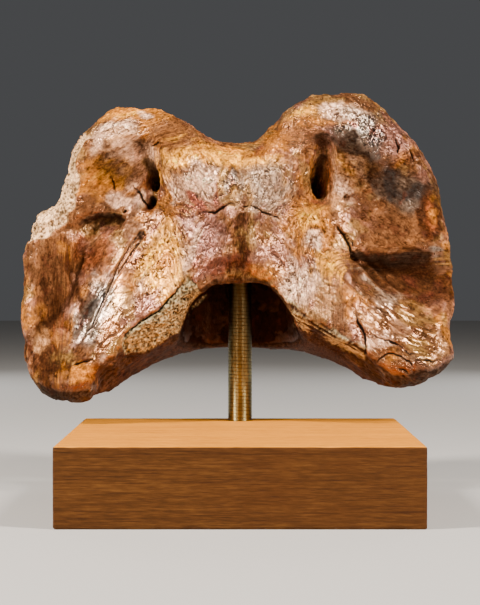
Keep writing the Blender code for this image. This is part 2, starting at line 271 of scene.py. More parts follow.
def line_distance(x, z, line):
    """How far each point lies from a line through several points, and how far along it that is, 0 to 1."""
    ends = np.array(line, float)
    lengths = np.hypot(*(ends[1:] - ends[:-1]).T)
    nearest = np.full(len(x), 1e9)
    along = np.zeros(len(x))
    run = 0.0
    for start, end, length in zip(ends, ends[1:], lengths):
        away, share = segment_distance(x, z, start, end)
        closer = away < nearest
        nearest = np.where(closer, away, nearest)
        along = np.where(closer, (run + share * length) / lengths.sum(), along)
        run += length
    return nearest, along


def patch_depth(x, z, outline):
    """How far each point lies inside an outline, in millimetres; less than 0 outside."""
    ends = np.array(outline, float)
    nearest = np.full(len(x), 1e9)
    inside = np.zeros(len(x), bool)
    for start, end in zip(ends, np.roll(ends, -1, axis=0)):
        nearest = np.minimum(nearest, segment_distance(x, z, start, end)[0])
        crosses = (start[1] > z) != (end[1] > z)
        width, rise = end - start
        inside ^= crosses & (x < start[0] + (z - start[1]) * width / (rise or 1e-9))
    return np.where(inside, nearest, -nearest)


def add_object(name, data):
    made = bpy.data.objects.new(name, data)
    bpy.context.scene.collection.objects.link(made)
    return made


def add_piece(name, mesh, node):
    """Adds a piece that rides on the one body, in place of a node, which it hides."""
    piece = add_object(name, mesh)
    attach(piece, "root")
    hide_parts(node)
    return piece


def mesh_from(shape, name):
    mesh = bpy.data.meshes.new(name)
    shape.to_mesh(mesh)
    shape.free()
    return mesh


def read_vectors(mesh, what):
    values = np.empty(len(mesh.vertices) * 3)
    mesh.vertices.foreach_get(what, values)
    return values.reshape(-1, 3)


def write_points(mesh, points):
    mesh.vertices.foreach_set("co", points.ravel())
    mesh.update()


def neighbours(mesh):
    """The pairs of points that the edges join."""
    pairs = np.empty(len(mesh.edges) * 2, np.int64)
    mesh.edges.foreach_get("vertices", pairs)
    return pairs.reshape(-1, 2)


def relax(values, pairs, rounds):
    """Moves each point's values half way to the mean of those of the points that it is joined to."""
    count = np.bincount(pairs.ravel(), minlength=len(values))
    near, far = pairs.T
    for _ in range(rounds):
        total = np.empty_like(values)
        for axis in range(values.shape[1]):
            column = values[:, axis]
            total[:, axis] = np.bincount(near, column[far], len(values))
            total[:, axis] += np.bincount(far, column[near], len(values))
        values = values + 0.5 * (total / count[:, None] - values)
    return values


def add_cut(piece, cutter):
    """Cuts a closed solid out of a piece, once the piece's modifiers are applied."""
    cut = piece.modifiers.new(cutter.name, "BOOLEAN")
    cut.operation = "DIFFERENCE"
    cut.solver = "EXACT"
    cut.object = cutter


def apply_modifiers(piece, cutters):
    """Makes a piece's modifiers part of its mesh, and removes the cutters."""
    bpy.context.view_layer.update()
    graph = bpy.context.evaluated_depsgraph_get()
    made = bpy.data.meshes.new_from_object(piece.evaluated_get(graph))
    piece.modifiers.clear()
    piece.data = made
    for cutter in cutters:
        bpy.data.objects.remove(cutter)


def dress(mesh, material):
    mesh.materials.clear()
    mesh.materials.append(material)
    mesh.shade_smooth()


def store(mesh, name, values, kind="FLOAT"):
    """Keeps a number, a vector or a colour for each point of a mesh, for its material to read."""
    field = {"FLOAT": "value", "FLOAT_VECTOR": "vector", "FLOAT_COLOR": "color"}[kind]
    if kind == "FLOAT_COLOR":
        values = np.column_stack([values, np.ones(len(values))])
    mesh.attributes.new(name, kind, "POINT").data.foreach_set(field, values.astype(np.float32).ravel())


def hole_cutter(name, mouth, end, half_width, half_height, depth, mouth_y):
    """A hole that narrows from its mouth in the dorsal side, through ovals that face the front."""
    shape = bmesh.new()
    rings = []
    for share, size in HOLE_RINGS:
        x = mouth[0] + (end[0] - mouth[0]) * share
        z = mouth[1] + (end[1] - mouth[1]) * share
        y = mouth_y + depth * share
        ring = []
        for step in range(HOLE_SIDES):
            angle = math.tau * step / HOLE_SIDES
            u = half_width * size * math.cos(angle)
            v = half_height * size * math.sin(angle)
            ring.append(shape.verts.new(Vector((x + u, y, z + v)) * MM))
        rings.append(ring)
    for near, far in zip(rings, rings[1:]):
        for step in range(HOLE_SIDES):
            after = (step + 1) % HOLE_SIDES
            shape.faces.new((near[step], near[after], far[after], far[step]))
    shape.faces.new(rings[0])
    shape.faces.new(rings[-1])
    bmesh.ops.recalc_face_normals(shape, faces=shape.faces)
    return add_object(name, mesh_from(shape, name))


def fine_bone(node):
    """The bone's solid with its holes sharpened, in small even faces and with its facets smoothed away."""
    shape = bmesh.new()
    shape.from_mesh(node.data)
    bmesh.ops.remove_doubles(shape, verts=shape.verts, dist=1e-6)
    bone = add_piece("bone", mesh_from(shape, "bone"), "atlas")
    softer = bone.modifiers.new("softer", "SUBSURF")
    softer.levels = softer.render_levels = 1
    cutters = [hole_cutter(name, *sizes) for name, sizes in FORAMINA.items()]
    for cutter in cutters:
        add_cut(bone, cutter)
    even = bone.modifiers.new("even", "REMESH")
    even.mode = "VOXEL"
    even.voxel_size = BONE_VOXEL
    smooth = bone.modifiers.new("smooth", "SMOOTH")
    smooth.factor = SMOOTHING
    smooth.iterations = SMOOTHING_ROUNDS
    apply_modifiers(bone, cutters)
    return bone


def below_line(line, x, z):
    """How far each point lies below a line that runs from left to right."""
    return np.interp(x, *np.transpose(line)) - z


def step_down(below, softness, near, far):
    """A step down to depth 1 below an edge, that rises again from near to far below it."""
    return ramp(below, -0.3 * softness, softness) * (1 - ramp(below, near, far))


def dorsal_forms(x, z):
    """How far the small forms of the dorsal side stand out towards the front, in millimetres."""
    out = mounds(x, z, LUMPS)
    # The right wing's upper plate ends in a ledge, with a deep hollow under it.
    below = below_line(RIGHT_LEDGE, x, z) + 1.5 * np.sin(x / 3.1) * ramp(x, 66, 76)
    across = ramp(x, 53, 60) * (1 - ramp(x, 90, 101))
    out -= 3.0 * step_down(below, 1.4 + 5 * ramp(x, 64, 84), 6, 24) * across
    out += 1.0 * bell(below + 2.5, 2.5) * across * (1 - ramp(x, 66, 80))
    # The left wing's valley, and the hollow under a brow that runs from the small slot to the rim.
    away, along = line_distance(x, z, LEFT_VALLEY)
    out -= 2.3 * bell(away, 2.8) * np.sqrt(np.clip(4 * along * (1.1 - along), 0, 1))
    across = ramp(x, -90, -70) * (1 - ramp(x, -60, -57))
    out -= 2.6 * step_down(below_line(LEFT_BROW, x, z), 1.1 + 3 * ramp(-x, 70, 84), 2.5, 11) * across
    # The left wing's upper nerve hole opens from a shallow slot.
    return out - 1.0 * bell(line_distance(x, z, LEFT_SLOT)[0], 2.2)


def waves(across, length, points, bends):
    """Waves of height 1 that follow one another across, bent by noises: (reach, size, seed)."""
    for reach, size, seed in bends:
        across = across + reach * noise(points, size, seed)
    return np.sin(across * math.tau / length)


def folds_and_streaks(x, z, points):
    """The soft folds under the right wing's hollow and at its tip, the streaks along the left wing's groove
    and the wrinkles beside the arch, in millimetres."""
    strength = 0.75 + 0.5 * noise(points, 9, 55)
    radius = np.hypot(x - ARC_CENTRE[0], z - ARC_CENTRE[1])
    folds = waves(radius, 4.8, points, [(1.6, 15, 51), (0.5, 5, 52)])
    out = 0.75 * folds * np.minimum(1.6 * mound(x, z, *FOLDED_PLACE), 1) * strength
    streaks = waves(0.47 * z - 0.88 * x, 3.6, points, [(1.2, 9, 53), (0.4, 3, 54)])
    out += 0.3 * streaks * mound(x, z, (-71, 88), (8, 17), -28) * strength
    tip = waves(z + 0.3 * x, 4.0, points, [(1.6, 8, 66), (0.5, 3, 67)])
    out += 0.3 * tip * mound(x, z, (83, 75), (13, 7), -18) * strength
    wrinkles = waves(z + 0.35 * x, 4.2, points, [(2.0, 6, 56), (0.8, 2.4, 57)])
    return out + 0.25 * wrinkles * mound(x, z, (38, 112), (12, 15))


def fibre_lanes(points):
    """Coordinates in millimetres that run across the bone's fibres, along them, and into the bone."""
    x, y, z = points.T
    fan = np.arctan2(x - FAN_CENTRE[0], FAN_CENTRE[1] - z) * 70
    fan_run = np.hypot(x - FAN_CENTRE[0], z - FAN_CENTRE[1])
    arc = np.hypot(x - ARC_CENTRE[0], z - ARC_CENTRE[1])
    arc_run = np.arctan2(z - ARC_CENTRE[1], ARC_CENTRE[0] - x) * 100
    right = ramp(x, 34, 52) * (1 - ramp(z, 106, 122))
    # On the arch the fibres draw together towards the crack, from above and from below.
    upper = ramp(z, 133, 143)
    rise, fall = np.maximum(z - 96, 8), np.maximum(160 - z, 8)
    arch = blend(np.arctan2(x, fall) * 55, np.arctan2(x, rise) * 55, upper)
    arch_run = blend(np.hypot(x, fall), 64 - np.hypot(x, rise), upper)
    edge = 24 + 12 * upper
    middle = (1 - ramp(np.abs(x), edge, edge + 12)) * (1 - ramp(z, 166, 178))
    lane = blend(blend(fan, arc, right), arch, middle)
    run = blend(blend(fan_run, arc_run, right), arch_run, middle)
    rim = ramp(-x, 80, 92)
    return np.column_stack([blend(lane, x, rim), blend(run, z, rim), y])


def seen_from_front(points):
    """1 where nothing of the bone lies in front of a point, and 0 where something does."""
    cell = np.floor(points[:, [0, 2]] / 1.6).astype(int)
    cell -= cell.min(0)
    nearest = np.full(cell.max(0) + 1, 1e9)
    np.minimum.at(nearest, (cell[:, 0], cell[:, 1]), points[:, 1])
    return 1 - ramp(points[:, 1] - nearest[cell[:, 0], cell[:, 1]], 4, 8)


def bone_masks(points, normals):
    """Where each kind of surface lies on the bone, from 0 to 1 at each point."""
    x, y, z = points.T
    behind = y - ROD_SET_BACK - (z - PIVOT_Z) * math.tan(LEAN)
    front = seen_from_front(points) * ramp(-normals[:, 1], -0.15, 0.1)
    bend_x, bend_z = (drift(points, 3.5, (11, 12)) * 0.8 + drift(points, 1.2, (13, 14)) * 0.25).T
    masks = {"dorsal": front * (1 - ramp(behind, 4, 12)), "crazed": places(x, z, CRAZED_PLACES)}
    crack = np.zeros(len(x))
    crease = np.zeros(len(x))
    for line, width, depth in CRACKS:
        away, along = line_distance(x + bend_x, z + bend_z, line)
        taper = np.sqrt(np.clip(4 * along * (1 - along), 0.05, 1))
        crack = np.maximum(crack, depth * bell(away, width * taper) * taper)
        crease = np.maximum(crease, bell(away, 0.62 * width) * taper)
    masks["crack"] = crack * front
    away, along = line_distance(x + 0.1 * bend_x, z + 0.1 * bend_z, VESSEL_GROOVE)
    apart = 1.35 * (1 - ramp(along, 0.15, 0.6))
    channel = bell(away - apart, 0.7) * (1 - ramp(along, 0.88, 1.0))
    mouth = mound(x, z, VESSEL_GROOVE[0], (1.7, 2.2), -25)
    masks["groove"] = np.maximum(channel, 1.5 * mouth) * front
    masks["crease"] = np.maximum(crease, np.maximum(0.9 * channel, 1.2 * mouth)) * front
    masks["beside"] = bell(away, 4) * front
    ragged_x, ragged_z = x + 1.2 * bend_x, z + 1.2 * bend_z
    rim = ramp(patch_depth(ragged_x, ragged_z, LEFT_RIM_BREAK), -0.5, 0.5)
    outer = ramp(-x, 84, 90) * (1 - ramp(behind, 12, 20)) * ramp(z, 118, 124)
    strip = ramp(patch_depth(ragged_x, ragged_z, LEFT_STRIP), -0.5, 0.5)
    masks["broken"] = np.maximum(rim * np.maximum(front, outer), strip * front)
    masks["splinters"] = ramp(patch_depth(ragged_x, ragged_z, RIGHT_STRIP), -0.8, 1.0) * front
    # The canal's walls (inner), faces that look down (under) and, below, faces that look up at the back
    # (over) are where bone_colours paints shade.
    masks["inner"] = canal_mask(points, normals)
    masks["under"] = ramp(-normals[:, 2], 0.2, 0.7)
    smooth = 0.75 * places(x, z, SMOOTH_PLACES) * masks["dorsal"]
    folded = np.minimum(1.2 * mound(x, z, *FOLDED_PLACE), 0.8) * masks["dorsal"]
    masks["rough"] = (1 - np.maximum(smooth, folded)) * (1 - 0.8 * masks["beside"])
    masks["over"] = ramp(normals[:, 2], 0.55, 0.9) * ramp(behind, -6, 2)
    masks["edge"] = ramp(normals[:, 1], -0.4, -0.05)
    masks["joint"] = ramp(behind, 1, 8) * front * (1 - masks["broken"]) * (1 - masks["splinters"])
    masks["rim"] = (1 - np.abs(normals[:, 1])) * ramp(np.hypot(x, z - 122), 52, 78)
    return masks


def canal_mask(points, normals):
    """1 on the walls of the canal, which face its axis."""
    x, y, z = points.T
    axis_y = ROD_SET_BACK - 2 + 0.29 * (z - 78)
    towards = -(normals[:, 0] * x + normals[:, 1] * (y - axis_y)) / (np.hypot(x, y - axis_y) + 1e-6)
    near = 1 - ramp(np.hypot(x / 30, (y - axis_y) / 23), 0.95, 1.2)
    return ramp(towards, 0.1, 0.5) * near * ramp(z, 60, 72) * (1 - ramp(z, 176, 184))


def shreds(points):
    """The shreds of the splintered strip, from about -1 between them to 1 along their crests."""
    c, s = math.cos(SPLINTER_TURN), math.sin(SPLINTER_TURN)
    x, y, z = points.T
    return ridged(np.column_stack([z * c - x * s, x * c + z * s, y]), (1.7, 14, 6), 2, 75)


# Places on the dorsal side that are smooth, and that are crazed with small cracks: (place, radii, turn).
SMOOTH_PLACES = [
    ((84, 106), (20, 10), -8), ((-95, 104), (9, 24), 3), ((-82, 104), (5, 18), 4), ((84, 73), (13, 6), -18),
    ((90, 90), (12, 9), -30), ((-60, 160), (14, 12), 0), ((72, 130), (20, 10), 0), ((-60, 92), (5, 9), -28),
]
CRAZED_PLACES = [
    ((-54, 179), (18, 7), 2), ((-46, 108), (9, 18), -20), ((90, 64), (9, 5), -10), ((-20, 122), (16, 16), 0),
    ((30, 102), (14, 18), 0), ((74, 172), (16, 12), -45), ((-22, 150), (14, 16), 0), ((14, 148), (16, 14), 0),
    ((34, 128), (12, 10), 0), ((40, 183), (16, 6), 0), ((-38, 150), (6, 14), 0),
]


def places(x, z, rows):
    """1 in the middle of each place in a list, and 0 away from all of them."""
    return np.clip(sum(1.3 * mound(x, z, *row) for row in rows), 0, 1)


def bone_relief(points, masks, lanes):
    """How far each point moves out along its normal, in millimetres."""
    x, z = points[:, 0], points[:, 2]
    whole = (1 - masks["broken"]) * (1 - masks["splinters"])
    calm = 1 - 0.7 * np.maximum(masks["joint"], masks["inner"])
    rough = masks["rough"] * calm * whole
    out = 0.55 * fractal(points, 15, 2, 21) * calm
    out += 0.32 * fractal(points, 6, 2, 31) * rough
    out += 0.8 * fractal(points, 8, 2, 35) * masks["rim"] * calm
    # Scaly creases across the fibres, hammered hollows and long wrinkles.
    lane, run, into = lanes.T
    tilt = lane * 0.5 + 3 * noise(points, 16, 49)
    scales = np.column_stack([run + tilt, lane - 0.5 * run, into]) + 1.2 * drift(points, 4, (50, 58, 59))
    out += 0.14 * ridged(scales, (2.4, 7, 6), 2, 41) * rough
    out += 0.17 * fractal(points, 3.0, 2, 45) * (0.35 + 0.65 * rough) * whole
    wrinkle = np.abs(noise(lanes + 1.5 * noise(points, 5, 43)[:, None], (4.2, 13, 9), 44))
    out -= 0.2 * (1 - ramp(wrinkle, 0.02, 0.12)) * rough
    # Small plates where the surface is crazed.
    first, second, own = cells(lanes + 1.3 * drift(points, 5, (46, 47, 42)), (3.6, 7.5, 5.0), 48)
    crazed = masks["crazed"] * masks["dorsal"] + 0.5 * (1 - masks["dorsal"])
    out += (0.07 * own - 0.24 * (1 - ramp(second - first, 0.01, 0.15))) * crazed * rough
    out += folds_and_streaks(x, z, points) * masks["dorsal"] * whole
    out -= 0.95 * masks["crack"] + 1.1 * masks["groove"]
    out -= 0.5 * spots(points, 5.2, 61, 0.10, 0.17) * rough * ramp(noise(points, 20, 62), -0.1, 0.3)
    # Spongy bone: sunk in steps below the surface round it, and full of small holes.
    holes = 0.75 * spots(points, 2.0, 71, 0.25, 0.5) + 0.4 * spots(points, 1.4, 72, 0.25, 0.5)
    steps = cells(points, (8, 8, 10), 74)[2] * ramp(-x, 64, 70)
    out -= masks["broken"] * (0.5 + 1.3 * steps + holes - 0.45 * fractal(points, 4, 3, 73))
    # Splinters lie in long shreds.
    return out + masks["splinters"] * (0.32 * shreds(points) - 0.2)


# The bone's colours.
TAN = srgb(106, 67, 36)
SAND = srgb(170, 121, 76)
BROWN = srgb(82, 52, 29)
UMBER = srgb(48, 25, 10)
SOOT = srgb(29, 25, 22)
SLATE = srgb(85, 75, 64)
AMBER = srgb(170, 105, 31)
GOLD = srgb(241, 166, 48)
RUST = srgb(101, 52, 25)
ROSE = srgb(121, 81, 68)
WINE = srgb(69, 33, 20)
CREAM = srgb(254, 209, 153)
ASH = srgb(153, 126, 101)
# A dark greyish brown: some stains are this colour, and it is also used for painted shade.
DARK_STAIN_AND_SHADE = srgb(63, 50, 39)
MOSS = srgb(188, 173, 129)
OLIVE = srgb(121, 89, 45)
RED = srgb(101, 41, 25)
PALE = srgb(226, 177, 139)

# The shares of red, green and blue that the bone's grain lightens and darkens its stains by.
LIGHTER = np.array([2.6, 2.5, 2.5])
DARKER = np.array([0.26, 0.19, 0.15])

# The stains of the dorsal side, from the first laid to the last: (colour, place, radii, turn, strength).
STAINS = [
    (AMBER, (-54, 185.5), (22, 4), 0, 1.3), (GOLD, (-50, 185), (14, 2), 0, 0.4),
    (PALE, (-44.5, 184), (3, 1.5), 0, 1.0), (PALE, (-68, 174), (5, 6), 0, 1.1),
    # From here to the stain at (-53, 153), the sand and pale stains in the left wing's upper hollow are
    # partly the bone's golden brown and partly painted light, lifting the hollow out of shade.
    (PALE, (-57, 177), (7, 4), 2, 1.1), (SAND, (-56, 168), (10, 6), 0, 1.2),
    (PALE, (-56, 166), (11, 7), 0, 0.9), (PALE, (-57, 170), (8, 5), 0, 0.6),
    (UMBER, (-65.5, 168.5), (2.5, 3.5), 0, 0.6), (SAND, (-57, 175), (9, 5), 0, 0.5),
    (AMBER, (-41, 175.5), (8, 7), 0, 1.1), (AMBER, (-64, 154), (12, 8), 0, 1.2),
    (GOLD, (-62, 155), (11, 6), 0, 0.8), (PALE, (-52, 160), (7, 5), 0, 1.2),
    (GOLD, (-54, 158), (6, 6), 0, 0.6), (PALE, (-50, 148), (4, 7), 30, 0.7),
    (PALE, (-60, 143), (6, 4), 0, 0.7), (PALE, (-47, 165), (6, 7), 30, 1.1),
    (OLIVE, (-46, 160), (3, 4), 30, 0.8), (PALE, (-53, 153), (4, 5), 0, 0.5),
    (SAND, (-37, 163), (5, 9), 10, 0.9), (TAN, (-32, 175), (9, 7), 0, 1.1),
    (GOLD, (-28, 170), (8, 5), -30, 0.4), (GOLD, (-24, 163), (12, 4.5), 0, 1.0),
    (AMBER, (-8, 166), (14, 4), 0, 1.0), (GOLD, (-3, 163), (16, 4), 0, 1.0),
    (PALE, (-20, 151.5), (7.5, 8), 0, 1.2), (PALE, (-33, 150), (4, 9), 20, 0.7),
    (GOLD, (-36, 158), (4, 8), 20, 0.7), (RUST, (11, 167), (8, 3), 15, 0.9),
    (RED, (-21, 141.8), (5, 1.4), -42, 1.0), (RED, (-11, 149), (1.4, 8), -12, 0.8),
    (OLIVE, (-9, 152), (3, 7), 0, 0.8), (AMBER, (19, 173), (11, 6), 35, 0.9),
    (SOOT, (-4, 156), (2, 5), 0, 0.7), (SOOT, (1, 149), (2, 5), 0, 0.7),
    (SLATE, (-7, 148), (3, 6), 0, 0.6), (ASH, (15, 147), (10, 10), 0, 0.8),
    (SLATE, (8, 150), (3, 6), 0, 0.7), (TAN, (28, 177), (9, 8), 30, 0.7),
    (GOLD, (31, 185), (10, 3), 12, 0.9), (AMBER, (38, 181), (9, 3), 8, 0.7),
    (PALE, (47, 186), (10, 4), 0, 0.9), (ASH, (56, 184), (7, 5), 0, 0.9),
    (ROSE, (44, 171), (6, 9), 0, 0.6), (ROSE, (76, 174), (9, 6), -45, 0.7),
    # The sand and pale stains round (53, 155), down to (49, 143), are partly the bone's olive gold and partly
    # painted light, lifting a hollow of the right wing out of shade.
    (SAND, (53, 157), (9, 10), 0, 1.3), (PALE, (53, 156), (8, 9), 0, 0.8),
    (GOLD, (53, 158), (6, 7), 0, 0.7), (OLIVE, (58, 153), (4, 8), 0, 0.5),
    (GOLD, (62, 159), (5, 4), 0, 0.5), (PALE, (50, 149), (5, 7), 0, 0.8),
    (SAND, (49, 143), (6, 5), 0, 0.7), (UMBER, (68, 158), (8, 9), 0, 1.0),
    (SOOT, (56, 173), (10, 7), 0, 1.5), (SOOT, (65, 172), (4, 4), 0, 0.8),
    (SLATE, (63, 180), (6, 5), -40, 1.0), (SOOT, (67, 176), (2, 4), 20, 0.8),
    (RED, (72, 158), (5, 4), 0, 0.25), (DARK_STAIN_AND_SHADE, (80, 146), (13, 10), -20, 1.1),
    (SOOT, (74, 148), (3.5, 10), 8, 0.9), (SOOT, (87, 145), (8, 6), -20, 1.1),
    (DARK_STAIN_AND_SHADE, (83, 139), (6, 4), 0, 0.9), (UMBER, (93, 134), (5, 14), 5, 1.1),
    (AMBER, (96, 137), (2, 9), 5, 0.3), (RUST, (94, 135), (3, 9), 5, 0.8),
    (AMBER, (95, 136), (2, 4), 5, 0.35), (BROWN, (70, 129), (14, 8), 0, 1.0),
    # The umber at (77, 115) and (81, 105) is the dark brown of the hollow under the right wing's ledge,
    # deepened by painted shadow from the ledge.
    (ROSE, (60, 135), (9, 6), 0, 0.3), (UMBER, (77, 115), (20, 4), 0, 1.0),
    (UMBER, (81, 105), (20, 10), -10, 1.5), (WINE, (87, 99), (9, 7), 0, 0.4),
    (SLATE, (95, 121), (3, 5), 0, 0.5), (BROWN, (70, 94), (15, 9), -40, 0.7),
    (ASH, (70, 96), (16, 6), -42, 0.35), (BROWN, (81, 74), (17, 9), -10, 1.0),
    (OLIVE, (84, 70), (8, 4), -10, 0.6), (SAND, (60, 86), (7, 4), -30, 0.6),
    # The dark patch at (72, 58) is painted shade along the right tip's lower edge, which also tones down the
    # block's orange glow there.
    (DARK_STAIN_AND_SHADE, (72, 58), (18, 7), 0, 1.1), (BROWN, (69, 63), (6, 4), 0, 0.6),
    (PALE, (66, 74), (6, 4), 0, 0.6), (AMBER, (72, 66), (4, 5), -20, 0.45),
    (TAN, (78, 63), (5, 4), 0, 0.9), (BROWN, (76, 62), (6, 4), 0, 0.7),
    (UMBER, (86, 61), (6, 3), 0, 0.9), (SAND, (98, 72), (4, 4), 0, 0.5),
    (PALE, (29, 102), (8, 9), -30, 0.8), (GOLD, (43, 113), (7, 9), 0, 0.7),
    (AMBER, (33, 132), (9, 11), 0, 1.1), (GOLD, (33, 136), (6, 5), 0, 0.8),
    (PALE, (36, 124), (7, 4), 10, 0.7), (RUST, (37, 143), (5, 2), 0, 0.8),
    (SAND, (40, 94), (6, 6), -30, 0.6), (ROSE, (-17, 124), (13, 11), -25, 0.9),
    (WINE, (-20, 138), (8, 4), -20, 0.6), (WINE, (-9, 112), (12, 5), 10, 0.8),
    (UMBER, (0, 128), (3.5, 12), 0, 1.0), (OLIVE, (3, 124), (4, 8), 0, 0.6),
    (AMBER, (13, 108), (7, 3), -20, 0.7), (PALE, (-26, 118), (5, 11), -20, 0.5),
    (GOLD, (-38, 113), (8, 13), -10, 1.4), (AMBER, (-37, 110), (5, 9), -10, 0.7),
    (PALE, (-48, 101), (3, 7), -25, 0.6), (ROSE, (-44, 92), (7, 4), 40, 0.6),
    (RUST, (-71, 118), (9, 11), 0, 0.8), (BROWN, (-70, 122), (7, 6), 0, 0.5),
    (UMBER, (-73, 110), (4, 7), 0, 0.6), (SLATE, (-71, 91), (8, 15), -28, 1.0),
    (DARK_STAIN_AND_SHADE, (-71, 91), (7, 13), -28, 0.5), (SOOT, (-74, 87), (1.6, 10), -28, 1.1),
    (SOOT, (-68, 94), (1.4, 8), -28, 1.0), (SOOT, (-78, 83), (1.0, 6), -28, 0.8),
    # The brown and umber of the left wing's rim band, and the umber line along its valley at (-81, 103), are
    # partly the bone's own brown and partly painted shade.
    (BROWN, (-93, 104), (8, 20), 4, 0.9), (UMBER, (-94, 100), (6, 20), 4, 0.6),
    (UMBER, (-81, 103), (2.2, 14), 12, 1.1), (UMBER, (-92, 85), (3, 8), -50, 0.9),
    (UMBER, (-96, 70), (9, 11), 0, 0.8), (RUST, (-92, 66), (8, 8), 0, 0.6),
    # The dark patch at (-77, 52) is painted shade along the left tip's lower edge.
    (DARK_STAIN_AND_SHADE, (-77, 52), (18, 5), 10, 0.9), (UMBER, (-86, 60), (16, 10), 0, 1.2),
    (OLIVE, (-84, 66), (8, 3), 0, 0.7), (UMBER, (-92, 66), (6, 8), 0, 0.6),
    (AMBER, (-77, 59), (8, 5), 10, 0.7), (PALE, (-64, 67), (3, 3), 0, 0.8),
    (RUST, (-87, 80), (5, 7), -25, 0.5), (SAND, (-95, 76), (5, 7), 0, 0.4),
]

# The soft clouds of colour all over the bone: (colour, size, octaves, seed, low, high, strength).
CLOUDS = [
    (BROWN, 30, 5, 121, 0.1, 0.45, 0.8),
    (AMBER, 24, 5, 131, 0.25, 0.5, 0.6),
    (ROSE, 14, 4, 136, 0.2, 0.45, 0.5),
    (OLIVE, 11, 4, 138, 0.1, 0.4, 0.7),
    (UMBER, 20, 5, 141, 0.4, 0.8, 0.5),
]

# How much duller or glossier some places on the dorsal side are: (place, radii, turn, change).
POLISH = [
    ((82, 106), (20, 10), -8, 0.9), ((-92, 104), (11, 24), 3, 0.8), ((-60, 160), (12, 13), 0, 0.55),
    ((72, 130), (18, 9), 0, 0.55), ((75, 152), (16, 12), 0, 0.7), ((-70, 117), (9, 12), 0, 0.7),
    ((-7, 112), (14, 6), 0, 0.5), ((0, 128), (6, 12), 0, 0.5), ((-50, 187), (28, 5), 0, 0.6),
    ((-6, 166), (22, 6), 0, 0.5), ((-33, 172), (10, 9), 0, 0.5), ((-92, 68), (12, 10), 0, 0.6),
    ((95, 137), (6, 14), 5, 1.0), ((-40, 160), (7, 12), 10, 0.3), ((-21, 151), (11, 12), 0, -0.8),
    ((15, 146), (12, 11), 0, -0.8), ((-55, 178), (17, 6), 2, -0.8), ((-71, 90), (9, 17), -28, 0.1),
    ((62, 100), (12, 8), -45, -0.4), ((60, 88), (9, 7), -30, -0.1), ((29, 102), (10, 11), -30, -0.4),
    ((49, 184), (14, 6), 0, -0.7), ((63, 178), (8, 6), -40, -0.9), ((53, 172), (7, 7), 0, 0.6),
    ((84, 164), (7, 14), 35, 0.25), ((-40, 106), (10, 16), -20, -0.4), ((-20, 124), (13, 12), 0, -0.3),
    ((84, 80), (14, 8), -20, 0.05), ((-86, 58), (11, 7), 0, 0.3),
]


def mix(base, colour, share):
    """A colour, or one for each point, laid over another by each point's share."""
    return blend(base, colour, np.clip(share, 0, 1)[:, None])


def bone_colours(points, masks, lanes, hollow):
    """The bone's colour at each point, and how dull it is there, from 0 to 1."""
    x = points[:, 0] + 1.6 * fractal(points, 12, 3, 101)
    z = points[:, 2] + 1.6 * fractal(points, 12, 3, 111)
    fibrous = lanes * np.array([1, 0.42, 0.6])
    colour = TAN
    for cloud, size, octaves, seed, low, high, strength in CLOUDS:
        share = strength * ramp(fractal(points, size, octaves, seed), low, high)
        colour = mix(colour, cloud, share)
    edges = [fractal(fibrous, 4.5, 4, seed) for seed in (151, 155, 159)]
    for number, (stain, centre, radii, turn, strength) in enumerate(STAINS):
        share = mound(x, z, centre, np.array(radii) * 1.2, turn) * strength
        ragged = ramp(share + 0.32 * edges[number % 3], 0.18, 0.75) * ramp(share, 0.03, 0.2)
        colour = mix(colour, stain, 0.95 * ragged * masks["dorsal"])
    colour = mix(colour, RUST, 0.6 * masks["joint"])
    # Painted shade: the canal's walls darkened nearly to black, faces that look down darkened to a greyer
    # brown, and faces that look up at the back darkened.
    colour = mix(colour, UMBER * 0.15, 0.95 * masks["inner"])
    colour = mix(colour, DARK_STAIN_AND_SHADE * 0.7, 0.85 * masks["under"])
    colour = colour * (1 - 0.45 * masks["over"])[:, None]
    # Mottling and fibres. Hollows hold dark stain, and crests are worn paler.
    shade = 1 + 0.36 * fractal(fibrous, 2.6, 3, 161) + 0.07 * ridged(lanes, (2.2, 11, 9), 2, 171)
    colour = colour * np.clip(shade, 0.3, 1.8)[:, None]
    colour = mix(colour, WINE * 0.7, 0.5 * ramp(fractal(points, 4.5, 3, 176), 0.45, 0.9))
    colour = mix(colour, UMBER * 0.7, 0.7 * ramp(hollow, 0.02, 0.22))
    colour = colour * (1 + 0.5 * ramp(-hollow, 0.02, 0.2))[:, None]
    # Spongy bone is pale with dark holes, and the splintered strip is streaked.
    inner_strip = ramp(x, -66, -60)
    sponge = mix(CREAM, OLIVE, 0.6 * ramp(fractal(points, 6, 3, 191), 0.0, 0.5))
    sponge = mix(sponge, MOSS, inner_strip)
    pores = 0.85 * spots(points, 2.0, 71, 0.2, 0.45) + 0.5 * spots(points, 1.4, 72, 0.2, 0.42)
    sponge = mix(sponge, DARK_STAIN_AND_SHADE * 0.45, pores * (0.5 + 0.5 * inner_strip))
    colour = mix(colour, sponge, masks["broken"])
    crests = shreds(points)
    splinters = mix(DARK_STAIN_AND_SHADE * 2, MOSS, ramp(crests, -0.4, 0.9))
    splinters = mix(splinters, UMBER * 0.5, 0.8 * (1 - ramp(crests, -1.0, -0.2)))
    colour = mix(colour, splinters, masks["splinters"])
    colour = mix(colour, UMBER * 0.3, np.clip(masks["crack"] * 0.7, 0, 0.6))
    dull = 0.9 * ramp(masks["broken"], 0, 0.08) + 0.35 * masks["splinters"] + 0.35 * masks["inner"]
    dull = dull + 0.6 * masks["crack"] + 0.8 * masks["under"] + 0.5 * masks["over"] + 0.6 * masks["edge"]
    dull = dull + 0.15 * ramp(hollow, 0.02, 0.2) + 0.45 * ramp(fractal(points, 9, 4, 201), -0.15, 0.45)
    dull = dull + mounds(x, z, POLISH) * masks["dorsal"]
    return np.clip(colour, 0.001, 1), np.clip(dull, 0, 1)


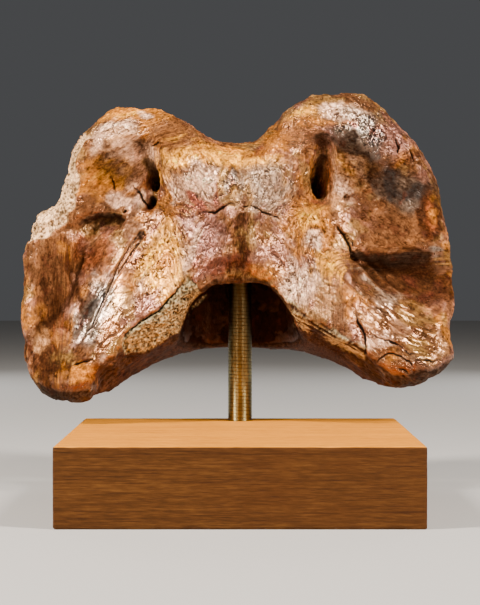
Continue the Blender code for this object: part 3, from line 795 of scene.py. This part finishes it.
def clear_of_rod(points):
    """Keeps the bone off the rod that stands in its canal."""
    _, rod_high = in_mm(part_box("stand_rod"))
    room = rod_high[0] + ROD_GAP
    x, y, z = points.T
    away = np.hypot(x, y - ROD_SET_BACK)
    close = (away < room) & (z < rod_high[2] + TOP_GAP)
    scale = np.where(close, room / np.maximum(away, 0.1), 1)
    points[:, 0] = x * scale
    points[:, 1] = ROD_SET_BACK + (y - ROD_SET_BACK) * scale


class Nodes:
    """A short way to build a material's nodes."""

    def __init__(self, name):
        self.material = bpy.data.materials.new(name)
        self.material.use_nodes = True
        self.tree = self.material.node_tree
        self.shader = self.tree.nodes["Principled BSDF"]

    def add(self, kind, inputs=None, **settings):
        node = self.tree.nodes.new(kind)
        for key, value in settings.items():
            setattr(node, key, value)
        for key, value in (inputs or {}).items():
            self.put(node.inputs[key], value)
        return node

    def put(self, socket, value):
        """Links a socket to another, or gives it a value; a colour of three parts is made opaque."""
        if isinstance(value, bpy.types.NodeSocket):
            self.tree.links.new(value, socket)
        elif isinstance(value, np.ndarray):
            socket.default_value = opaque(value)
        else:
            socket.default_value = value

    def set(self, **inputs):
        for key, value in inputs.items():
            self.put(self.shader.inputs[key.replace("_", " ")], value)

    def read(self, name, output="Fac"):
        """What store() keeps under a name."""
        return self.add("ShaderNodeAttribute", attribute_name=name).outputs[output]

    def place(self, scale=(1, 1, 1)):
        """Object coordinates in millimetres, squeezed along each axis by scale."""
        where = self.add("ShaderNodeTexCoord").outputs["Object"]
        return self.scaled(where, tuple(1000 * part for part in scale))

    def scaled(self, vector, scale):
        return self.add("ShaderNodeMapping", {"Vector": vector, "Scale": scale}).outputs[0]

    def noise(self, vector, scale, detail, roughness=0.55, distortion=0.0):
        inputs = {
            "Vector": vector, "Scale": scale, "Detail": detail, "Roughness": roughness,
            "Distortion": distortion,
        }
        return self.add("ShaderNodeTexNoise", inputs).outputs["Fac"]

    def veins(self, vector, distortion, narrow, wide):
        """Thin winding lines, where a noise passes through its middle value."""
        away = self.maths("SUBTRACT", self.noise(vector, 1.0, 3, 0.6, distortion), 0.5)
        return self.spread(self.maths("ABSOLUTE", away), narrow, wide, 1, 0)

    def voronoi(self, vector, scale=1.0, feature="F1"):
        inputs = {"Vector": vector, "Scale": scale, "Randomness": 1.0}
        return self.add("ShaderNodeTexVoronoi", inputs, feature=feature).outputs["Distance"]

    def crackle(self, vector, scale, width):
        """Thin lines round small plates with bent edges."""
        bend = self.add("ShaderNodeTexNoise", {"Vector": vector, "Scale": 0.5, "Detail": 3.0})
        inputs = {0: bend.outputs["Color"], 1: (1.6, 1.6, 1.6), 2: vector}
        moved = self.add("ShaderNodeVectorMath", inputs, operation="MULTIPLY_ADD").outputs[0]
        edges = self.voronoi(self.scaled(moved, scale), feature="DISTANCE_TO_EDGE")
        return self.spread(edges, 0.2 * width, width, 1, 0)

    def spread(self, value, low, high, to_low=0.0, to_high=1.0):
        inputs = {"Value": value, "From Min": low, "From Max": high, "To Min": to_low, "To Max": to_high}
        return self.add("ShaderNodeMapRange", inputs).outputs["Result"]

    def maths(self, operation, first, second=0.0):
        return self.add("ShaderNodeMath", {0: first, 1: second}, operation=operation).outputs[0]

    def times(self, first, second):
        return self.maths("MULTIPLY", first, second)

    def plus(self, first, second):
        return self.maths("ADD", first, second)

    def minus(self, first, second):
        return self.maths("SUBTRACT", first, second)

    def blend(self, share, first, second, how="MIX"):
        inputs = {"Factor": share, 6: first, 7: second}
        return self.add("ShaderNodeMix", inputs, data_type="RGBA", blend_type=how).outputs[2]

    def bright(self, colour, share):
        """A colour's own hue at full brightness, with its saturation scaled by share."""
        parts = self.add("ShaderNodeSeparateColor", {"Color": colour}, mode="HSV").outputs
        inputs = {0: parts[0], 1: self.times(parts[1], share), 2: 1.0}
        return self.add("ShaderNodeCombineColor", inputs, mode="HSV").outputs[0]

    def bump(self, height, strength, distance):
        inputs = {"Height": height, "Strength": strength, "Distance": distance}
        return self.add("ShaderNodeBump", inputs).outputs[0]


def opaque(colour):
    return (*[float(part) for part in colour], 1.0)


def bone_material():
    made = Nodes("stained_bone")
    stain, lanes = made.read("stain", "Color"), made.read("fibre", "Vector")
    dull, crease, spongy = made.read("dull"), made.read("crease"), made.read("spongy")
    crazed, uneven = made.read("crazed"), made.read("rough")
    place = made.place()
    # Strands and speckles, shallow dents, and hair-thin lines along the fibres.
    strands = made.noise(made.scaled(lanes, (0.95, 0.34, 0.5)), 1.0, 2, 0.6, 0.7)
    speckle = made.noise(place, 0.8, 3, 0.6)
    dents = made.noise(made.scaled(lanes, (0.75, 0.5, 0.75)), 1.0, 1, 0.5, 0.5)
    hair = made.veins(made.scaled(lanes, (0.30, 0.07, 0.2)), 0.6, 0.004, 0.03)
    fine = made.veins(made.scaled(lanes, (0.62, 0.17, 0.4)), 0.8, 0.008, 0.045)
    # Two sizes of small cracks in the crazed places, with gaps here and there.
    patches = made.spread(made.noise(place, 0.06, 3, 0.6), 0.40, 0.56)
    gaps = made.spread(made.noise(place, 0.3, 2, 0.6), 0.44, 0.54)
    crazing = made.times(crazed, uneven)
    cracked = made.times(crazing, gaps)
    craze = made.times(made.crackle(lanes, (0.22, 0.15, 0.2), 0.09), cracked)
    small = made.times(made.crackle(lanes, (0.45, 0.32, 0.42), 0.13), made.times(patches, cracked))
    fine = made.times(fine, made.spread(patches, 0.0, 1.0, 0.8, 0.3))
    line = made.spread(crease, 0.25, 0.6)
    # The pores of spongy bone.
    pore = made.spread(made.voronoi(made.place((0.62, 0.62, 0.52))), 0.28, 0.54, 1, 0)
    pore = made.times(pore, made.spread(made.noise(place, 0.22, 2), 0.38, 0.6, 0.6, 1))
    pore = made.times(pore, spongy)
    grain = made.spread(strands, 0.3, 0.7, -0.5, 0.5)
    grain = made.plus(grain, made.spread(speckle, 0.28, 0.72, -0.4, 0.4))
    lighter = made.blend(1.0, stain, LIGHTER, "MULTIPLY")
    darker = made.blend(1.0, stain, DARKER, "MULTIPLY")
    colour = made.blend(made.spread(grain, -0.7, 0.7), darker, lighter)
    bottoms = made.times(made.spread(dents, 0.36, 0.47, 1, 0), crazing)
    for marks, strength, tint in (
        (bottoms, 0.7, UMBER),
        (hair, 0.35, UMBER * 0.5),
        (small, 0.7, UMBER * 0.5),
        (craze, 0.85, UMBER * 0.5),
        (fine, made.spread(crazed, 0.35, 1, 0.3, 0.85), UMBER),
        (pore, 0.9, DARK_STAIN_AND_SHADE * 0.6),
        (line, 0.95, SOOT * 0.25),
    ):
        colour = made.blend(made.times(marks, strength), colour, tint)
    height = made.times(grain, 0.2)
    height = made.plus(height, made.times(dents, made.spread(crazed, 0.35, 1, 0.9, 1.5)))
    for marks, depth in ((hair, 0.32), (craze, 0.6), (small, 0.3), (fine, 0.1)):
        height = made.minus(height, made.times(marks, depth))
    height = made.times(height, made.spread(uneven, 0, 1, 0.25, 1))
    height = made.minus(height, made.times(line, 0.5))
    height = made.minus(height, made.times(pore, 0.8))
    rough = made.spread(dull, 0.0, 0.8, 0.12, 0.6)
    rough = made.plus(rough, made.spread(speckle, 0.3, 0.7, -0.04, 0.06))
    made.set(Base_Color=colour, Roughness=rough, Normal=made.bump(height, 1.0, 0.0003))
    made.set(Metallic=made.spread(dull, 0.1, 0.5, 0.12, 0.0), IOR=2.0)
    gloss = made.spread(dull, 0.05, 0.6, 0.9, 0.02)
    made.set(Specular_IOR_Level=gloss, Specular_Tint=made.bright(stain, 0.9))
    return made.material


def build_bone():
    mesh = fine_bone(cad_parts["atlas"]).data
    pairs = neighbours(mesh)
    points = read_vectors(mesh, "co") / MM
    normals = read_vectors(mesh, "normal")
    front = seen_from_front(points) * ramp(-normals[:, 1], -0.1, 0.25)
    points[:, 1] -= dorsal_forms(points[:, 0], points[:, 2]) * front
    points = relax(points, pairs, 4)
    write_points(mesh, points * MM)
    normals = read_vectors(mesh, "normal")
    masks = bone_masks(points, normals)
    lanes = fibre_lanes(points)
    made = points + normals * bone_relief(points, masks, lanes)[:, None]
    hollow = ((relax(made, pairs, 10) - made) * normals).sum(1)
    colours, dull = bone_colours(points, masks, lanes, hollow)
    clear_of_rod(made)
    write_points(mesh, np.clip(made, *in_mm(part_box("atlas"))) * MM)
    store(mesh, "stain", colours, "FLOAT_COLOR")
    store(mesh, "dull", dull)
    store(mesh, "crease", masks["crease"])
    store(mesh, "rough", masks["rough"] * (1 - 0.7 * masks["joint"]))
    store(mesh, "crazed", 0.35 + 0.65 * masks["crazed"] * masks["dorsal"])
    store(mesh, "spongy", masks["broken"])
    store(mesh, "fibre", lanes, "FLOAT_VECTOR")
    dress(mesh, bone_material())


# The rod's thread and its brass, which is duller in places, brown in the thread and painted darker near the
# canal as painted shade, for the bone hides that part from the lamps.
THREAD_PITCH = 1.75
THREAD_DEPTH = 0.24
THREAD_ROOT = 0.03
THREAD_FLANK = 0.22
ROD_SIDES = 96
ROD_ROWS_PER_PITCH = 14
ROD_CHAMFER = 0.9
BRASS = srgb(178, 168, 118)
BRASS_TARNISH = srgb(128, 115, 74)
BRASS_GROOVE = srgb(60, 40, 16)
BRASS_SHADE = srgb(48, 30, 14)


def thread_depth(turn):
    """The thread's depth from 0 at its flat crest to 1 at its root, over one turn from 0 to 1."""
    away = np.abs(turn - np.floor(turn) - 0.5) * 2
    return 1 - ramp(away, THREAD_ROOT, THREAD_FLANK)


def rod_material():
    made = Nodes("brass")
    place = made.place()
    tarnish = made.noise(made.place((1, 1, 0.25)), 0.22, 5, 0.6)
    colour = made.blend(made.spread(tarnish, 0.35, 0.7), BRASS, BRASS_TARNISH)
    colour = made.blend(made.spread(made.read("groove"), 0.2, 0.9, 0, 0.8), colour, BRASS_GROOVE)
    # Painted shade: the brass darkens towards the rod's top, up in the bone's canal.
    height = made.add("ShaderNodeSeparateXYZ", {"Vector": place}).outputs["Z"]
    colour = made.blend(made.spread(height, 58, 84, 0, 0.75), colour, BRASS_SHADE)
    turned = made.noise(made.place((0.15, 0.15, 3.0)), 1.0, 3, 0.6)
    rough = made.spread(tarnish, 0.3, 0.7, 0.36, 0.46)
    round_it = made.add("ShaderNodeTangent", direction_type="RADIAL", axis="Z").outputs[0]
    made.set(Base_Color=colour, Metallic=1.0, Roughness=rough)
    made.set(Anisotropic=0.97, Anisotropic_Rotation=0.25, Tangent=round_it)
    made.set(Normal=made.bump(made.plus(turned, made.noise(place, 2.5, 2)), 0.12, 0.0002))
    return made.material


def build_rod():
    low, high = in_mm(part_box("stand_rod"))
    radius = (high[0] - low[0]) / 2
    centre = (low + high) / 2
    rows = int((high[2] - low[2]) / THREAD_PITCH * ROD_ROWS_PER_PITCH)
    heights = np.linspace(low[2], high[2], rows + 1)
    angles = np.arange(ROD_SIDES) * math.tau / ROD_SIDES
    z, angle = (grid.ravel() for grid in np.meshgrid(heights, angles, indexing="ij"))
    wear = np.column_stack([z, np.cos(angle) * 2, np.sin(angle) * 2])
    depth = thread_depth(z / THREAD_PITCH + angle / math.tau + 0.02 * noise(wear, 9, 301))
    worn = 0.8 + 0.2 * noise(wear, 12, 302)
    ends = np.minimum(z - low[2], high[2] - z)
    reach = radius - THREAD_DEPTH * depth * worn - np.clip(ROD_CHAMFER - ends, 0, ROD_CHAMFER)
    points = np.column_stack([centre[0] + reach * np.cos(angle), centre[1] + reach * np.sin(angle), z])
    faces = []
    for row in range(rows):
        for side in range(ROD_SIDES):
            after = (side + 1) % ROD_SIDES
            start = row * ROD_SIDES
            faces.append((start + side, start + after, start + ROD_SIDES + after, start + ROD_SIDES + side))
    faces.append(tuple(reversed(range(ROD_SIDES))))
    faces.append(tuple(rows * ROD_SIDES + side for side in range(ROD_SIDES)))
    mesh = bpy.data.meshes.new("threaded_rod")
    mesh.from_pydata((points * MM).tolist(), [], faces)
    store(mesh, "groove", depth)
    dress(mesh, rod_material())
    add_piece("threaded_rod", mesh, "stand_rod")


# The block: the size of its faces, its eased edges, how deep the top's painted light reaches, and its
# colours. The top is painted lighter than the sides as painted light, for the lamps fall on it from above.
BLOCK_STEP = 1.3
BLOCK_EDGE = 0.9
BLOCK_EDGE_STEPS = 3
BLOCK_SHARP_ANGLE = math.radians(50)
LIT_TOP_DEPTH = 0.4
ROD_HOLE_HEIGHT = 40
ROD_HOLE_SIDES = 64
WOOD_DARK = srgb(54, 30, 8)
WOOD_MIDDLE = srgb(84, 49, 16)
WOOD_LIGHT = srgb(111, 70, 27)
WOOD_CLOUD = srgb(75, 38, 10)
WOOD_PORE = srgb(66, 34, 16)
WOOD_LINE = srgb(52, 24, 8)
LIT_TOP_DARK = srgb(194, 116, 18)
LIT_TOP_LIGHT = srgb(243, 158, 31)


def wood_material():
    made = Nodes("hardwood")
    streaks = made.noise(made.place((0.05, 1, 1)), 1.0, 5, 0.62, 0.4)
    tilted = made.add(
        "ShaderNodeMapping",
        {"Vector": made.place(), "Rotation": (0.0, 0.10, 0.05), "Scale": (0.14, 0.8, 1.0)},
    ).outputs[0]
    flecks = made.noise(tilted, 1.3, 3, 0.55)
    bands = made.noise(made.place((0.02, 1, 1)), 0.12, 3, 0.6, 0.5)
    cloud = made.noise(made.place((0.4, 1, 1)), 0.03, 3, 0.6)
    tone = made.plus(made.spread(streaks, 0.3, 0.7, 0, 0.5), made.spread(flecks, 0.3, 0.7, -0.1, 0.3))
    tone = made.plus(tone, made.spread(bands, 0.3, 0.7, 0, 0.25))
    grain = made.add("ShaderNodeValToRGB", {"Fac": tone})
    stops = grain.color_ramp.elements
    stops[0].color = opaque(WOOD_DARK)
    stops[1].color = opaque(WOOD_LIGHT)
    stops.new(0.5).color = opaque(WOOD_MIDDLE)
    colour = made.blend(made.spread(cloud, 0.45, 0.7, 0, 0.4), grain.outputs["Color"], WOOD_CLOUD)
    # Painted light: the block's top takes lighter, oranger colours than its sides, for the light that falls
    # on it from above.
    lit_top_colour = made.blend(made.spread(tone, 0.1, 0.9), LIT_TOP_DARK, LIT_TOP_LIGHT)
    colour = made.blend(made.read("lid"), colour, lit_top_colour)
    pore = made.spread(made.voronoi(made.place((0.10, 1, 1)), 1.1), 0.06, 0.24, 1, 0)
    colour = made.blend(made.times(pore, 0.35), colour, WOOD_PORE)
    lines = made.spread(made.noise(made.place((0.035, 2.2, 2.2)), 1.0, 2, 0.5), 0.58, 0.68)
    colour = made.blend(made.times(lines, 0.55), colour, WOOD_LINE)
    rough = made.spread(streaks, 0.3, 0.7, 0.46, 0.62)
    height = made.minus(made.plus(streaks, flecks), made.times(pore, 0.8))
    made.set(Base_Color=colour, Roughness=rough, Normal=made.bump(height, 0.4, 0.0003))
    made.set(Specular_IOR_Level=0.12)
    return made.material


def build_block():
    low, high = in_mm(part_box("stand_base"))
    size, middle = high - low, (high + low) / 2
    shape = bmesh.new()
    bmesh.ops.create_cube(shape, size=1)
    for vert in shape.verts:
        vert.co = Vector([float(size[axis] * vert.co[axis] + middle[axis]) for axis in range(3)])
    bmesh.ops.bevel(
        shape, geom=shape.edges[:], offset=BLOCK_EDGE, offset_type="OFFSET", profile=0.5,
        segments=BLOCK_EDGE_STEPS, affect="EDGES",
    )
    for axis in range(3):
        cuts = int(size[axis] / BLOCK_STEP)
        for step in range(1, cuts):
            at, way = Vector((0, 0, 0)), Vector((0, 0, 0))
            at[axis] = low[axis] + BLOCK_EDGE + (size[axis] - 2 * BLOCK_EDGE) * step / cuts
            way[axis] = 1
            geometry = shape.verts[:] + shape.edges[:] + shape.faces[:]
            bmesh.ops.bisect_plane(shape, geom=geometry, plane_co=at, plane_no=way, dist=1e-5)
    mesh = mesh_from(shape, "block")
    points = read_vectors(mesh, "co")
    normals = read_vectors(mesh, "normal")
    grain = fractal(points * np.array([0.1, 1, 1]), 2.4, 3, 401)
    worn = np.clip(noise(points, 6, 402) - 0.2, 0, 1) * ramp(np.abs(normals).max(1), 0.98, 0.8)
    sunk = 0.05 + 0.05 * grain + 0.5 * worn
    sunk[points[:, 2] < 0.01] = 0
    points -= normals * np.clip(sunk, 0, 1)[:, None]
    write_points(mesh, np.clip(points, low, high) * MM)
    block = add_piece("block", mesh, "stand_base")
    cut_rod_hole(block)
    heights = read_vectors(block.data, "co")[:, 2] / MM
    # Painted light: marks the top faces, which the wood's colours paint lighter.
    store(block.data, "lid", heights > high[2] - LIT_TOP_DEPTH)
    dress(block.data, wood_material())
    block.data.set_sharp_from_angle(angle=BLOCK_SHARP_ANGLE)


def cut_rod_hole(block):
    low, high = in_mm(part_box("stand_rod"))
    bottom = float(low[2]) - FOOT_GAP
    radius = float(high[0] + ROD_GAP) * MM
    shape = bmesh.new()
    bmesh.ops.create_cone(
        shape, cap_ends=True, segments=ROD_HOLE_SIDES, radius1=radius, radius2=radius,
        depth=ROD_HOLE_HEIGHT * MM,
    )
    cutter = add_object("rod_hole", mesh_from(shape, "rod_hole"))
    cutter.location = Vector((0, ROD_SET_BACK, bottom + ROD_HOLE_HEIGHT / 2)) * MM
    add_cut(block, cutter)
    apply_modifiers(block, [cutter])


# The floor and the lights: (place, width, height, power, colour). Those behind the bone aren't reflected.
FLOOR_RADIUS = 4.0
FLOOR_SIDES = 96
FLOOR_COLOUR = srgb(190, 186, 180)
SKY_COLOUR = (0.86, 0.88, 0.92, 1)
SKY_STRENGTH = 0.08
LIGHT_TARGET = Vector((0, 0.05, 0.10))
SOFTBOXES = {
    "softbox_left": ((-0.70, -0.34, 0.74), 0.12, 0.34, 22, (1, 0.93, 0.86)),
    "softbox_right": ((0.66, -0.40, 0.74), 0.12, 0.34, 20, (1, 0.94, 0.88)),
    "fill_left": ((-0.47, -0.84, 0.25), 0.05, 0.05, 1.0, (1, 0.94, 0.88)),
    "fill_right": ((0.50, -0.84, 0.22), 0.05, 0.05, 1.0, (1, 0.94, 0.88)),
    "softbox_back_left": ((-0.60, 1.00, 0.34), 0.4, 0.4, 4, (0.95, 0.97, 1)),
    "softbox_back_right": ((0.60, 1.00, 0.34), 0.4, 0.4, 4, (0.95, 0.97, 1)),
}


def build_stage():
    made = Nodes("studio_floor")
    made.set(Base_Color=FLOOR_COLOUR, Roughness=0.7)
    shape = bmesh.new()
    bmesh.ops.create_circle(shape, cap_ends=True, segments=FLOOR_SIDES, radius=FLOOR_RADIUS)
    mesh = mesh_from(shape, "studio_floor")
    mesh.materials.append(made.material)
    floor = add_object("studio_floor", mesh)
    world = bpy.data.worlds.new("studio")
    bpy.context.scene.world = world
    world.use_nodes = True
    background = world.node_tree.nodes["Background"]
    background.inputs["Color"].default_value = SKY_COLOUR
    background.inputs["Strength"].default_value = SKY_STRENGTH


def build_lights():
    for name, (place, width, height, power, colour) in SOFTBOXES.items():
        light = bpy.data.lights.new(name, "AREA")
        light.shape = "RECTANGLE"
        light.size = width
        light.size_y = height
        light.energy = power
        light.color = colour
        lamp = add_object(name, light)
        lamp.location = place
        lamp.rotation_euler = (LIGHT_TARGET - Vector(place)).to_track_quat("-Z", "Y").to_euler()
        lamp.visible_glossy = place[1] < 0


def build_camera():
    data = bpy.data.cameras.new("camera")
    data.lens = CAMERA_LENS
    data.sensor_width = SENSOR
    data.clip_start = NEAR_CLIP
    camera = add_object("camera", data)
    camera.location = CAMERA_PLACE
    camera.rotation_euler = (math.pi / 2 - CAMERA_PITCH, 0, 0)
    bpy.context.scene.camera = camera


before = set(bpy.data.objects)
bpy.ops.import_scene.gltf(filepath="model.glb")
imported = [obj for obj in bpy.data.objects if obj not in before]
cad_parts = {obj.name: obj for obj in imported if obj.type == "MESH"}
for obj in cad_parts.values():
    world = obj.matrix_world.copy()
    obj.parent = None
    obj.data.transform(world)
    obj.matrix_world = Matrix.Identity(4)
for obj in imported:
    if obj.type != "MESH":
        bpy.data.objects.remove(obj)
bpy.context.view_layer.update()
build_camera()
build_bone()
build_rod()
build_block()
build_stage()
build_lights()
